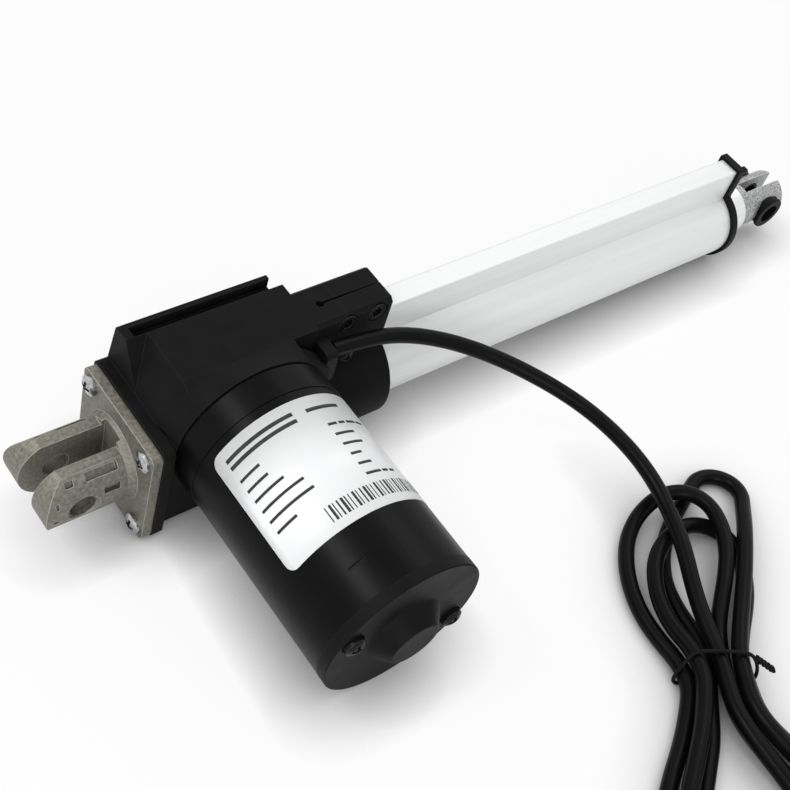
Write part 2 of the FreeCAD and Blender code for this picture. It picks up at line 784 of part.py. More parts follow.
def brush_holder():
    """Plate behind the commutator with a post behind each brush spring."""
    plate_start = motor_case_end_y + 0.2
    plate_y = (plate_start, plate_start + brush_plate_thickness)
    plate = ring("y", motor_case_r - motor_case_wall - 0.2, 11.0, plate_y, motor_at)
    post_x = (motor_x + brush_post[0], motor_x + brush_post[1])
    post = block(post_x, (plate_y[1], brush_y[1] + 0.5), (motor_z - 4, motor_z + 4))
    posts = [post, around_motor(post, 180)]
    holes = [cylinder("y", small_screw_r + 0.4, plate_y, at) for at in end_screw_places()]
    return carve(join(plate, *posts), *holes)


def carbon_brushes():
    brush_x = (motor_x + commutator_r + 0.1, motor_x + brush_end)
    brush = block(brush_x, brush_y, (motor_z - 3, motor_z + 3))
    return Part.makeCompound([brush, around_motor(brush, 180)])


def brush_springs():
    """Coil springs behind the brushes, drawn as their outer tubes."""
    middle_y = (brush_y[0] + brush_y[1]) / 2
    spring = ring("x", 1.9, 1.2, (motor_x + brush_end, motor_x + brush_post[0]), (middle_y, motor_z))
    return Part.makeCompound([spring, around_motor(spring, 180)])


def rating_label():
    """Thin label wrapped on the case."""
    radius = motor_case_r + seat_gap
    sheet = ring("y", radius + label_thickness, radius, label_y, motor_at)
    width = math.radians(label_angles[1] - label_angles[0])
    reach = 80.0
    fan = [(motor_x, label_y[0], motor_z)]
    steps = 6
    for k in range(steps + 1):
        angle = math.radians(label_angles[0]) + width * k / steps
        fan.append((motor_x + reach * math.cos(angle), label_y[0], motor_z + reach * math.sin(angle)))
    return sheet.common(prism(fan, (0, label_y[1] - label_y[0], 0)))


# Profile


def profile_outline(border, x):
    """Tube and wire channel in one outline, grown by a border."""
    half = channel_half + border
    top = channel_top_z + border
    tube = cylinder("x", profile_r + border, x)
    channel = rounded_block(x, (-half, half), (-half, top), "x", 0.8)
    return join(tube, channel)


def outer_profile():
    bore = cylinder("x", profile_bore_r, profile_x)
    inside = channel_half - channel_wall
    wires = block(profile_x, (-inside, inside), (channel_floor_z, channel_top_z - channel_wall))
    slot_x = (profile_x[0] + 4, profile_x[1] - 20)
    finger_slot = block(slot_x, (-finger_slot_half, finger_slot_half), (0, channel_floor_z + 1))
    return carve(profile_outline(0.0, profile_x), bore, wires, finger_slot)


def profile_end_cap():
    """Flat cap with a snap nub on its upper near corner."""
    x = (profile_x[1], profile_x[1] + cap_length)
    nub_x = (x[1], x[1] + 1.8)
    edge_y = -channel_half - cap_border
    nub = block(nub_x, (edge_y, edge_y + 2.6), (channel_top_z - 1.4, channel_top_z + cap_border))
    mouth = cylinder("x", rod_r + 0.6, x)
    return carve(join(profile_outline(cap_border, x), nub), mouth)


def rod_guide_bush():
    return ring("x", profile_bore_r - seat_gap, rod_r + running_gap, (profile_x[1] - 18, profile_x[1] - 4))


def rod_wiper_seal():
    return ring("x", profile_bore_r - seat_gap, rod_r + running_gap, (profile_x[1] - 4, profile_x[1]))


def limit_switch_strip():
    return block((112.0, 330.0), (-2.9, 2.9), (26.5, 28.0))


def limit_switches():
    """One switch at each end of the nut's travel, hung under the strip."""
    starts = (nut_x()[0] + 1.0, nut_x()[0] + stroke - 6.0)
    return Part.makeCompound([block((x + 14, x + 25), (-2.6, 2.6), (19.8, 26.5)) for x in starts])


# Rod


def nut_x():
    return (rod_x[0] - 4.0, rod_x[0] + 18.0)


def spindle_nut():
    """Nut in the tube's end, with the finger that works the limit switches."""
    start, end = nut_x()
    flange = cylinder("x", nut_flange_r, (start, rod_x[0]))
    barrel = cylinder("x", rod_bore_r - seat_gap, (rod_x[0], end))
    finger = block((start, rod_x[0]), (-1.2, 1.2), (nut_flange_r - 2, channel_floor_z + 0.6))
    bore = cylinder("x", spindle_r + running_gap, (start, end))
    pin_holes = cylinder("z", nut_pin_r + seat_gap, (-rod_r, rod_r), (nut_pin_x(), 0))
    return carve(join(flange, barrel, finger), bore, pin_holes)


def nut_pin_x():
    return rod_x[0] + 10.0


def nut_pins():
    at = (nut_pin_x(), 0)
    spans = ((spindle_r + 1.0, rod_r - 0.3), (-rod_r + 0.3, -spindle_r - 1.0))
    return Part.makeCompound([cylinder("z", nut_pin_r, span, at) for span in spans])


def inner_tube():
    pin_holes = cylinder("z", nut_pin_r + seat_gap, (-rod_r - 1, rod_r + 1), (nut_pin_x(), 0))
    return carve(ring("x", rod_r, rod_bore_r, rod_x), pin_holes)


def front_clevis():
    spigot = cylinder("x", rod_bore_r - seat_gap, (rod_x[1] - 16, rod_x[1]))
    ears = cylinder("x", front_clevis_r, (rod_x[1], front_clevis_end_x))
    nose = [e for e in ears.Edges if e.BoundBox.XMin > front_clevis_end_x - 0.01]
    ears = ears.makeFillet(2.0, nose)
    slot_x = (front_slot_x, front_clevis_end_x + 1)
    slot = block(slot_x, (-front_slot_half, front_slot_half), (-rod_r, rod_r))
    pin_at = (pin_to_pin, 0)
    bore = cylinder("y", bush_sleeve_r + seat_gap, (-rod_r, rod_r), pin_at)
    seats = []
    for side in (-1, 1):
        span = sorted((side * bush_collar_y[0], side * (front_clevis_r + 1)))
        seats.append(cylinder("y", bush_flange_r, span, pin_at))
    return carve(join(spigot, ears), slot, bore, *seats)


def front_bushes():
    """Flanged plastic bushes, one pushed into each ear from outside."""
    pin_at = (pin_to_pin, 0)
    sleeve = cylinder("y", bush_sleeve_r, (front_slot_half, bush_flange_y[1]), pin_at)
    collar = cylinder("y", bush_collar_r, bush_collar_y, pin_at)
    flange = cylinder("y", bush_flange_r, bush_flange_y, pin_at)
    outer_rim = [e for e in flange.Edges if e.BoundBox.YMin > bush_flange_y[1] - 0.01]
    flange = flange.makeFillet(0.6, outer_rim)
    bore = cylinder("y", bush_bore_r, (0, bush_flange_y[1] + 1), pin_at)
    bush = carve(join(sleeve, collar, flange), bore)
    return Part.makeCompound([bush, bush.mirror(V(0, 0, 0), AXES["y"])])


# Cable clamp, cord, hank and plug


def cable_clamp():
    """Strain-relief block beside the clamp's neck, with the tab that its screw holds."""
    body = rounded_block(cable_clamp_x, cable_clamp_y, cable_clamp_z, "x", cable_clamp_corner_r)
    back_y = (cable_clamp_y[1] - cable_clamp_corner_r, cable_clamp_y[1])
    square_back = block(cable_clamp_x, back_y, cable_clamp_z)
    tab = block(cable_tab_x, cable_tab_y, cable_tab_z)
    collar_room = cylinder("y", collar_r + seat_gap, (collar_front_y, 0), motor_at)
    ring_room = cylinder("x", clamp_ring_r + seat_gap, (0, clamp_end_x))
    screw_hole = cylinder("y", small_screw_r + seat_gap, cable_tab_y, cable_screw_at)
    return carve(join(body, square_back, tab), collar_room, ring_room, screw_hole)


def cable_clamp_screw():
    screw = pan_screw(*cable_screw_head, small_screw_r, cable_screw_length)
    x, z = cable_screw_at
    return placed(screw, (x, cable_tab_y[0], z), (0, -1, 0))


def cord_path():
    """Straight runs joined by tangent arcs as large as the runs allow."""
    points = [V(*p) for p in cord_route]
    edges = []
    radii = []
    start = points[0]
    for before, corner, after in zip(points, points[1:], points[2:]):
        back = before - corner
        ahead = after - corner
        turn = math.pi - back.getAngle(ahead)
        reach = 0.45 * min(back.Length, ahead.Length)
        radius = reach / math.tan(turn / 2)
        radii.append(radius)
        back.normalize()
        ahead.normalize()
        arc_start = corner + back * reach
        arc_end = corner + ahead * reach
        inward = (back + ahead).normalize()
        middle = corner + inward * (radius / math.cos(turn / 2) - radius)
        edges.append(Part.LineSegment(start, arc_start).toShape())
        edges.append(Part.Arc(arc_start, middle, arc_end).toShape())
        start = arc_end
    edges.append(Part.LineSegment(start, points[-1]).toShape())
    print("cord arc radii", [round(r, 1) for r in radii])
    return Part.Wire(edges)


def power_cord():
    path = cord_path()
    first, second = V(*cord_route[0]), V(*cord_route[1])
    section = Part.Wire(Part.makeCircle(cord_r, first, second - first))
    tube = path.makePipeShell([section], True, True)
    print("cord tube length", round(path.Length, 1))
    straight_volume = math.pi * cord_r**2 * path.Length
    print("tube volume over section times length", round(tube.Volume / straight_volume, 4))
    return tube


def table_placement():
    """Local axes of the hank: X along its lobes, Y across them, Z square to the table."""
    x, y = hank_waist
    origin = V(x, y, table_level + table_slope_x * x + table_slope_y * y)
    normal = V(-table_slope_x, -table_slope_y, 1).normalize()
    lengthways = V(hank_up[0], hank_up[1], 0)
    lengthways = (lengthways - normal * lengthways.dot(normal)).normalize()
    across = normal.cross(lengthways)
    turn = FreeCAD.Rotation(lengthways, across, normal, "ZXY")
    return FreeCAD.Placement(origin, turn)


def on_table(shape):
    copy = shape.copy()
    copy.Placement = table_placement().multiply(copy.Placement)
    return copy


def cord_hank():
    """Outer shape of the tied hank: its lobes and the waist between them."""
    solids = [block(hank_waist_x, hank_waist_y, (hank_low, hank_waist_height))]
    for middle_x, middle_y, half_x, half_y, height in hank_lobes:
        oval = Part.Ellipse(V(middle_x, middle_y, hank_low), half_x, half_y)
        solids.append(Part.Face(Part.Wire(oval.toShape())).extrude(V(0, 0, height - hank_low)))
    return on_table(join(*solids))


def cable_tie():
    """Band round the hank's waist, with its lock."""
    width = (-tie_half_width, tie_half_width)
    inner_y = (hank_waist_y[0] - seat_gap, hank_waist_y[1] + seat_gap)
    outer_y = (inner_y[0] - tie_thickness, inner_y[1] + tie_thickness)
    low, high = hank_low - seat_gap, hank_waist_height + seat_gap
    band = block(width, outer_y, (low - tie_thickness, high + tie_thickness))
    hole = block(width, inner_y, (low, high))
    lock_width, lock_depth, lock_height = tie_lock
    lock_y = (outer_y[0] - lock_depth, outer_y[0])
    lock = block((-lock_width / 2, lock_width / 2), lock_y, (high - lock_height, high))
    return on_table(join(carve(band, hole), lock))


def plug_body():
    """Moulded plug with a tapered sleeve and a short tail of cord, lying beside the lower lobe."""
    x, y = plug_at
    at = (y, plug_lift)
    sleeve_x = (x - plug_sleeve_length, x)
    barrel = cylinder("x", plug_r, (x - plug_length, sleeve_x[0]), at)
    sleeve = cone("x", (plug_r - 0.8, cord_r + 0.6), sleeve_x, at)
    tail = cylinder("x", cord_r, (x, x + plug_tail), at)
    return on_table(join(barrel, sleeve, tail))


def plug_contact():
    x, y = plug_at
    end = x - plug_length
    span = (end - plug_contact_length, end)
    return on_table(ring("x", plug_contact_r, plug_contact_bore_r, span, (y, plug_lift)))


NODES = {
    "gearbox_housing": gearbox_housing,
    "rear_clevis": rear_clevis,
    "rear_clevis_screws": rear_clevis_screws,
    "clamp_bolts": clamp_bolts,
    "rear_bearing": lambda: spindle_bearing(rear_bearing_x),
    "front_bearing": lambda: spindle_bearing(front_bearing_x),
    "preload_washer": preload_washer,
    "bearing_spacer": bearing_spacer,
    "worm_end_bearing": lambda: shaft_bearing(small_bearing_r, worm_end_bearing_y),
    "motor_gasket": motor_gasket,
    "motor_flange": motor_flange,
    "motor_case": motor_case,
    "motor_end_cap": motor_end_cap,
    "motor_end_screws": motor_end_screws,
    "motor_front_bearing": lambda: shaft_bearing(small_bearing_r + 1, front_bearing_span()),
    "motor_rear_bearing": lambda: shaft_bearing(small_bearing_r, motor_rear_bearing_y),
    "flux_ring": flux_ring,
    "motor_magnets": motor_magnets,
    "brush_holder": brush_holder,
    "carbon_brushes": carbon_brushes,
    "brush_springs": brush_springs,
    "rating_label": rating_label,
    "outer_profile": outer_profile,
    "profile_end_cap": profile_end_cap,
    "rod_guide_bush": rod_guide_bush,
    "rod_wiper_seal": rod_wiper_seal,
    "limit_switch_strip": limit_switch_strip,
    "limit_switches": limit_switches,
    "cable_clamp": cable_clamp,
    "cable_clamp_screw": cable_clamp_screw,
    "power_cord": power_cord,
    "cord_hank": cord_hank,
    "cable_tie": cable_tie,
    "plug_body": plug_body,
    "plug_contact": plug_contact,
    "spindle": spindle,
    "worm_wheel": worm_wheel,
    "wheel_key": wheel_key,
    "spindle_circlip": spindle_circlip,
    "motor_shaft": motor_shaft,
    "armature_core": armature_core,
    "armature_windings": armature_windings,
    "commutator": commutator,
    "inner_tube": inner_tube,
    "spindle_nut": spindle_nut,
    "nut_pins": nut_pins,
    "front_clevis": front_clevis,
    "front_bushes": front_bushes,
}

os.makedirs("parts", exist_ok=True)
for name, make in NODES.items():
    shape = make()
    shape.exportStep("parts/" + name + ".step")
    print(name, "solids", len(shape.Solids), "valid", shape.isValid(), "volume", round(shape.Volume))
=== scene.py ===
# %% [markdown]
# A bed linear actuator: a small motor turns a screw inside an aluminium profile, and a rod slides out
# to lift a bed frame. The solids come ready-made at their real size, so this lesson only dresses them.
# It makes a camera, lays the cord, sets the light, and then gives every surface its finish.

# %% Load the frame
import json
import math

import bmesh
import bpy
from mathutils import Euler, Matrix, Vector


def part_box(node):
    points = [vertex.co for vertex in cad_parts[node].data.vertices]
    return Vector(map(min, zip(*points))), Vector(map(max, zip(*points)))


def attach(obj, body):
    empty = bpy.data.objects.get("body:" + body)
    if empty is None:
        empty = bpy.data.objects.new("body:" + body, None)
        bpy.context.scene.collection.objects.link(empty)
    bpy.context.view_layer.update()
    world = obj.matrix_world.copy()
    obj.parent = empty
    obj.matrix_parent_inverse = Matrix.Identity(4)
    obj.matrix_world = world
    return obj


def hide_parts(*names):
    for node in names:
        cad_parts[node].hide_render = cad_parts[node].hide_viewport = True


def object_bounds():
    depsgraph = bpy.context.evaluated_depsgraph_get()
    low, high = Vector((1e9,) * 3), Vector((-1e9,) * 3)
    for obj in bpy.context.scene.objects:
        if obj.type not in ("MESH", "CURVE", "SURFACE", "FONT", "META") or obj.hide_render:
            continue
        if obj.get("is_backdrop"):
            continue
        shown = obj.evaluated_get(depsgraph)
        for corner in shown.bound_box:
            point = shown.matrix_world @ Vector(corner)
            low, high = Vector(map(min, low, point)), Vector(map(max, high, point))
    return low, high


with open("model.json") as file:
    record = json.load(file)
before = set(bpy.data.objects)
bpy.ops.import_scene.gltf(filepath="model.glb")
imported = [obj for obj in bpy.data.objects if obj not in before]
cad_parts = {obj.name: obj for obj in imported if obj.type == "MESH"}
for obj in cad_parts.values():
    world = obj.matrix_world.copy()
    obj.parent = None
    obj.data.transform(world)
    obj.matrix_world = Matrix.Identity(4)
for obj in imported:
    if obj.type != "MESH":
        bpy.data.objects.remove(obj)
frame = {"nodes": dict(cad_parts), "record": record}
solid_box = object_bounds()
MM = 0.001
solid_corners = [tuple(round(c, 3) for c in corner) for corner in solid_box]
print("solids loaded:", len(frame["nodes"]), "box", solid_corners)

# %% [markdown]
# The camera stands high on the motor's side and looks down along the profile. A photograph can be matched
# by eye, but it is surer to find the place, the three turns and the lens together from known edges of the
# object. Those numbers stay here as they were found, and nothing else in the file depends on them.

# %% Camera
CAMERA_PLACE = Vector((-151.5, -243.9, 401.4)) * MM
CAMERA_TURNS = Euler([math.radians(turn) for turn in (39.98, -13.49, -36.57)])
CAMERA_LENS = 62.2
CAMERA_NEAR = 0.01

camera = bpy.data.objects.new("camera", bpy.data.cameras.new("camera"))
camera.location = CAMERA_PLACE
camera.rotation_euler = CAMERA_TURNS
camera.data.lens = CAMERA_LENS
camera.data.clip_start = CAMERA_NEAR
bpy.context.scene.collection.objects.link(camera)
bpy.context.scene.camera = camera
print("camera looks along", [round(c, 2) for c in CAMERA_TURNS.to_matrix() @ Vector((0, 0, -1))])

# %% [markdown]
# The actuator lies on a table and leans on its motor, so in its own axes the table is a sloping plane.
# A small helper turns "along, across, height above the table" into a point. The hank of cord is easier to
# lay out in those three numbers than in the actuator's own axes.

# %% Table plane
TABLE_LEVEL = -28.72
TABLE_SLOPE = Vector((0.02858, -0.1168))
HANK_MIDDLE = Vector((165.1, -182.2))
HANK_HEADING = Vector((0.56, 0.83, 0.0))

table_normal = Vector((-TABLE_SLOPE.x, -TABLE_SLOPE.y, 1.0)).normalized()
hank_origin = Vector((*HANK_MIDDLE, TABLE_LEVEL + TABLE_SLOPE.dot(HANK_MIDDLE)))
hank_along = (HANK_HEADING - table_normal * HANK_HEADING.dot(table_normal)).normalized()
hank_across = hank_along.cross(table_normal)


def on_table(along, across, height):
    """A point near the hank, from millimetres in the table's own directions to metres."""
    return (hank_origin + hank_along * along + hank_across * across + table_normal * height) * MM


print("table leans by", round(math.degrees(table_normal.angle(Vector((0, 0, 1)))), 1), "degrees")

# %% [markdown]
# The cord is one soft tube. It leaves the cable clamp level, falls to the table and is then folded into a
# tied hank. A chain of straight pieces would look like bent wire, so the points only steer a smooth
# spline of order 3, which is the curve that a springy jacket takes. Each list is one stretch: the way in,
# the turns above the tie and the folds below it. Where two stretches cross, their heights differ by a
# full diameter, so that the cord lies on itself and not in itself.

# %% Cord points
CORD_RADIUS = 3.15

route = [
    (98.95, -14.2, 34.24),
    (118.1, -14.2, 32.0),
    (133.3, -16.6, 28.8),
    (147.0, -21.8, 25.3),
    (159.2, -29.0, 21.7),
    (169.8, -37.8, 18.4),
    (178.9, -47.8, 15.5),
    (186.4, -58.8, 13.3),
    (192.1, -70.7, 11.5),
    (195.6, -83.4, 10.0),
    (196.9, -96.5, 8.8),
    (195.6, -109.9, 7.8),
    (191.5, -123.0, 7.0),
    (185.2, -135.8, 8.2),
]
way_in = [(29.5, -7.0, 12.3), (15.4, -5.3, 11.3), (5.4, -3.1, 10.8), (-4.6, -2.4, 10.6)]
first_fold = [
    (-17.6, -2.2, 10.2), (-31.6, 3.2, 9.8), (-46.1, 11.1, 9.1), (-56.9, 15.9, 7.8), (-68.5, 13.2, 5.6),
    (-76.1, 4.0, 3.8), (-76.5, -7.9, 3.2), (-69.7, -17.6, 3.2), (-58.4, -21.2, 3.2), (-47.2, -17.2, 3.2),
    (-36.8, -13.4, 3.2), (-26.4, -9.8, 3.2), (-13.5, -7.8, 3.5), (-3.5, -6.5, 4.6),
]
top_turn = [
    (7.5, -5.4, 4.6), (17.5, -7.3, 3.5), (27.6, -11.4, 3.2), (38.7, -13.7, 3.2), (49.7, -12.7, 3.2),
    (59.7, -9.7, 3.2), (69.7, -4.9, 3.2), (78.6, 0.8, 3.2), (87.1, 6.3, 3.2), (93.1, 10.6, 3.2),
    (94.9, 17.7, 3.3), (91.8, 24.4, 3.6), (85.1, 27.5, 4.2), (76.8, 25.5, 5.8), (65.3, 22.6, 8.4),
    (53.3, 19.4, 9.8), (41.3, 16.2, 10.0), (28.3, 12.2, 10.1), (15.3, 8.1, 10.3), (4.3, 5.0, 10.6),
    (-5.7, 4.6, 10.3),
]
second_fold = [
    (-18.7, 5.5, 10.0), (-32.7, 13.6, 9.6), (-46.7, 23.9, 8.8), (-60.6, 31.2, 7.0), (-75.6, 29.8, 4.6),
    (-87.9, 17.4, 3.4), (-92.4, -1.0, 3.2), (-87.8, -19.4, 3.2), (-75.5, -32.4, 3.2), (-59.3, -34.4, 3.2),
    (-43.3, -28.4, 3.2), (-29.4, -21.5, 3.2), (-16.4, -16.5, 3.4), (-6.5, -13.9, 4.4),
]
left_turn = [
    (3.6, -16.0, 4.4), (14.7, -21.7, 3.3), (25.7, -26.0, 3.2), (37.8, -27.8, 3.2), (49.9, -27.2, 3.2),
    (61.5, -24.3, 3.5), (71.5, -18.3, 5.6), (78.7, -9.3, 8.8), (80.3, 1.2, 10.0), (74.2, 9.4, 10.2),
    (63.4, 12.2, 10.0), (51.3, 11.7, 9.8), (39.4, 8.5, 9.0), (28.4, 4.8, 7.0), (18.4, 1.9, 5.4),
    (8.4, 0.6, 4.8), (-3.6, 0.4, 4.6),
]
third_fold = [
    (-17.6, 1.4, 3.5), (-31.6, 8.2, 3.2), (-45.6, 17.4, 3.2), (-59.4, 23.6, 3.2), (-73.0, 22.0, 3.2),
    (-82.4, 10.8, 3.8), (-84.6, -4.4, 4.4), (-78.6, -19.0, 5.4), (-67.6, -26.4, 7.4), (-53.0, -26.0, 9.0),
    (-39.4, -20.4, 9.6), (-26.5, -15.3, 10.0), (-14.5, -11.9, 10.2), (-4.6, -10.2, 10.3),
]
low_turn = [
    (5.5, -12.3, 10.2), (15.5, -17.2, 8.8), (26.6, -19.8, 8.4), (36.7, -19.8, 8.8), (45.7, -18.0, 9.6),
    (54.1, -13.2, 9.7), (61.1, -6.0, 9.2), (66.0, 1.2, 6.4), (67.8, 8.4, 4.0), (65.0, 15.0, 3.2),
    (58.6, 18.8, 3.2), (51.0, 19.8, 3.2), (46.0, 19.4, 3.2), (36.4, 18.0, 3.2), (27.4, 15.2, 3.2),
    (17.4, 11.3, 3.5), (7.4, 7.9, 4.6), (-3.6, 7.7, 4.6),
]
plug_lead = [
    (-16.4, 9.6, 3.5), (-27.8, 17.2, 3.2), (-39.0, 27.6, 3.2), (-51.0, 35.9, 3.6), (-62.4, 38.8, 5.2),
    (-74.2, 39.3, 6.1),
]
hank = way_in + first_fold + top_turn + second_fold + left_turn + third_fold + low_turn + plug_lead
print("cord points:", len(route), "on the way out and", len(hank), "in the hank")

# %% [markdown]
# A curve object with a round bevel is the natural tool for a cord: the spline carries the line and the
# bevel its thickness. Each point's own radius carries the size and the bevel is 1, because the box of a
# curve counts the points' radii. The order is set after the points are there, because a spline that is
# still short would fall back to straight runs.

# %% Cord
CORD_SIDE_STEPS = 5
CORD_LINE_STEPS = 8

cord_line = bpy.data.curves.new("power_cord_jacket", "CURVE")
cord_line.dimensions = "3D"
cord_line.bevel_depth = 1.0
cord_line.bevel_resolution = CORD_SIDE_STEPS
cord_line.use_fill_caps = True
cord_line.resolution_u = CORD_LINE_STEPS
spline = cord_line.splines.new("NURBS")
places = [Vector(p) * MM for p in route] + [on_table(*p) for p in hank]
spline.points.add(len(places) - 1)
for point, place in zip(spline.points, places):
    point.co = (*place, 1.0)
    point.radius = CORD_RADIUS * MM
spline.order_u = 3
spline.use_endpoint_u = True
cord = bpy.data.objects.new("power_cord_jacket", cord_line)
bpy.context.scene.collection.objects.link(cord)
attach(cord, "actuator_body")
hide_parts("power_cord", "cord_hank")
print("cord laid with", len(places), "points")

# %% [markdown]
# The tie is a coated wire, wound once round the bundle and twisted shut on the right. One closed spline
# makes the loop. The twist is two short helices round one line, worked out in a loop, because that is how
# two wire ends really lie after a twist.

# %% Cord tie
TIE_RADIUS = 0.7
TIE_SIDE_STEPS = 3
TWIST_START = Vector((0.6, 9.5, 13.2))
TWIST_END = Vector((-1.0, 17.5, 8.2))
TWIST_SIDE = Vector((1, 0.3, 0)).normalized()
TWIST_UP = Vector((0, 0, 1))
TWIST_TURNS = 2.5
TWIST_STEPS = 20

tie_loop = [
    (1.5, -13.6, 14.3), (1.8, -9.0, 14.9), (2.0, 0.0, 14.8), (1.6, 6.5, 14.8), (0.8, 9.6, 12.6),
    (0.0, 11.9, 7.5), (-1.0, 12.3, 3.0), (-1.5, 10.0, 0.6), (-2.0, 0.0, 0.6), (-2.5, -14.0, 0.6),
    (-3.0, -18.8, 1.2), (-2.6, -19.2, 5.5), (-0.5, -16.4, 10.5),
]


def wire(name, strands, closed):
    """Thin round wires, one for each strand, through points that are given on the table."""
    line = bpy.data.curves.new(name, "CURVE")
    line.dimensions = "3D"
    line.bevel_depth = 1.0
    line.bevel_resolution = TIE_SIDE_STEPS
    line.use_fill_caps = True
    for strand in strands:
        made = line.splines.new("NURBS")
        made.points.add(len(strand) - 1)
        for point, place in zip(made.points, strand):
            point.co = (*on_table(*place), 1.0)
            point.radius = TIE_RADIUS * MM
        made.order_u = 3
        made.use_cyclic_u = closed
        made.use_endpoint_u = not closed
    piece = bpy.data.objects.new(name, line)
    bpy.context.scene.collection.objects.link(piece)
    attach(piece, "actuator_body")
    return piece


def twisted_end(phase):
    """One of the two wire ends, wound round the line of the twist."""
    points = []
    for k in range(TWIST_STEPS + 1):
        share = k / TWIST_STEPS
        turn = phase + share * TWIST_TURNS * math.tau
        middle = TWIST_START.lerp(TWIST_END, share)
        points.append(middle + TIE_RADIUS * (TWIST_SIDE * math.cos(turn) + TWIST_UP * math.sin(turn)))
    return points


tie = wire("cord_tie_loop", [tie_loop], True)
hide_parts("cable_tie")
tie_twist = wire("cord_tie_twist", [twisted_end(0), twisted_end(math.pi)], False)
print("tie made of", len(tie.data.splines) + len(tie_twist.data.splines), "wires")

# %% [markdown]
# The plug at the far end is turned, not boxed: a soft sleeve with rings that let it bend, then a barrel
# with grip ribs. One half outline, given as distance from the cord and radius, is spun round the plug's
# axis. The rings and ribs repeat, so loops add them to the outline.

# %% Plug
PLUG_AT = (-70.2, 39.3, 6.1)
PLUG_SIDES = 32
PLUG_SHARP = math.radians(40)
PLUG_RADIUS = 5.5
GROOVE_RADIUS = 5.0
SLEEVE_MOUTH = [(0.0, 3.2), (0.3, 3.7)]
SLEEVE_RINGS = 4
RING_START, RING_PITCH = 2.0, 2.6
RING_RADIUS, RING_GROWTH = 3.85, 0.2
RING_SHAPE = [(0.0, 0.0), (0.2, -0.5), (0.9, -0.5), (1.1, 0.1)]
SHOULDER = [(11.8, 4.7), (12.6, 5.4), (13.0, PLUG_RADIUS)]
GRIP_RIBS = 5
RIB_START, RIB_PITCH = 15.0, 2.4
RIB_SHAPE = [(0.0, PLUG_RADIUS), (0.3, GROOVE_RADIUS), (1.1, GROOVE_RADIUS), (1.4, PLUG_RADIUS)]
PLUG_FACE = [(29.2, PLUG_RADIUS), (29.8, 5.2), (30.0, 4.8)]

outline = SLEEVE_MOUTH[:]
for k in range(SLEEVE_RINGS):
    start, crest = RING_START + RING_PITCH * k, RING_RADIUS + RING_GROWTH * k
    outline += [(start + reach, crest + rise) for reach, rise in RING_SHAPE]
outline += SHOULDER
for k in range(GRIP_RIBS):
    start = RIB_START + RIB_PITCH * k
    outline += [(start + reach, radius) for reach, radius in RIB_SHAPE]
outline += PLUG_FACE

along, across, height = PLUG_AT
vertices = []
for reach, radius in outline:
    for k in range(PLUG_SIDES):
        turn = math.tau * k / PLUG_SIDES
        sideways, upward = radius * math.cos(turn), radius * math.sin(turn)
        vertices.append(on_table(along - reach, across + sideways, height + upward))
faces = []
for ring in range(len(outline) - 1):
    for k in range(PLUG_SIDES):
        near, far = ring * PLUG_SIDES, (ring + 1) * PLUG_SIDES
        following = (k + 1) % PLUG_SIDES
        faces.append((near + k, far + k, far + following, near + following))
faces.append(tuple(range(PLUG_SIDES)))
faces.append(tuple(reversed(range(len(vertices) - PLUG_SIDES, len(vertices)))))
plug_mesh = bpy.data.meshes.new("plug_barrel")
plug_mesh.from_pydata(vertices, [], faces)
plug_mesh.shade_smooth()
plug_mesh.set_sharp_from_angle(angle=PLUG_SHARP)
plug = bpy.data.objects.new("plug_barrel", plug_mesh)
bpy.context.scene.collection.objects.link(plug)
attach(plug, "actuator_body")
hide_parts("plug_body")
print("plug turned with", len(outline), "rings")

# %% [markdown]
# The rating label is a thin silver-white film round the motor. A flat face with rounded corners is cut
# into narrow strips and then bent onto the case, which keeps the corners true and the bend smooth. The
# print is plain: heading bars, ruled rows and a block of stripes, all one thinner sheet bent the same way.

# %% Label
LABEL_LEFT = math.radians(154.5)
LABEL_RIGHT = math.radians(8.0)
LABEL_CORNER = 4.0
CORNER_POINTS = 6
LABEL_LIFT = 0.02
FILM_THICKNESS = 0.1
INK_LIFT = 0.125
INK_THICKNESS = 0.015
STRIP_WIDTH = 1.5

case_low, case_high = (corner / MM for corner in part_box("motor_case"))
label_low, label_high = (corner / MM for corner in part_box("rating_label"))
case_radius = (case_high.x - case_low.x) / 2
motor_axis = ((case_high.x + case_low.x) / 2, (case_high.z + case_low.z) / 2)
label_width = case_radius * (LABEL_LEFT - LABEL_RIGHT)
label_height = label_high.y - label_low.y


def rounded_outline(left, top, width, height, radius):
    """Corner points of a rectangle on the flat label, each corner drawn as a short arc."""
    points = []
    far, low = width - radius, height - radius
    for k, (across, down) in enumerate(((far, radius), (far, low), (radius, low), (radius, radius))):
        for step in range(CORNER_POINTS):
            turn = math.radians(90 * (k - 1) + 90 / (CORNER_POINTS - 1) * step)
            points.append((left + across + radius * math.cos(turn), top + down + radius * math.sin(turn)))
    return points


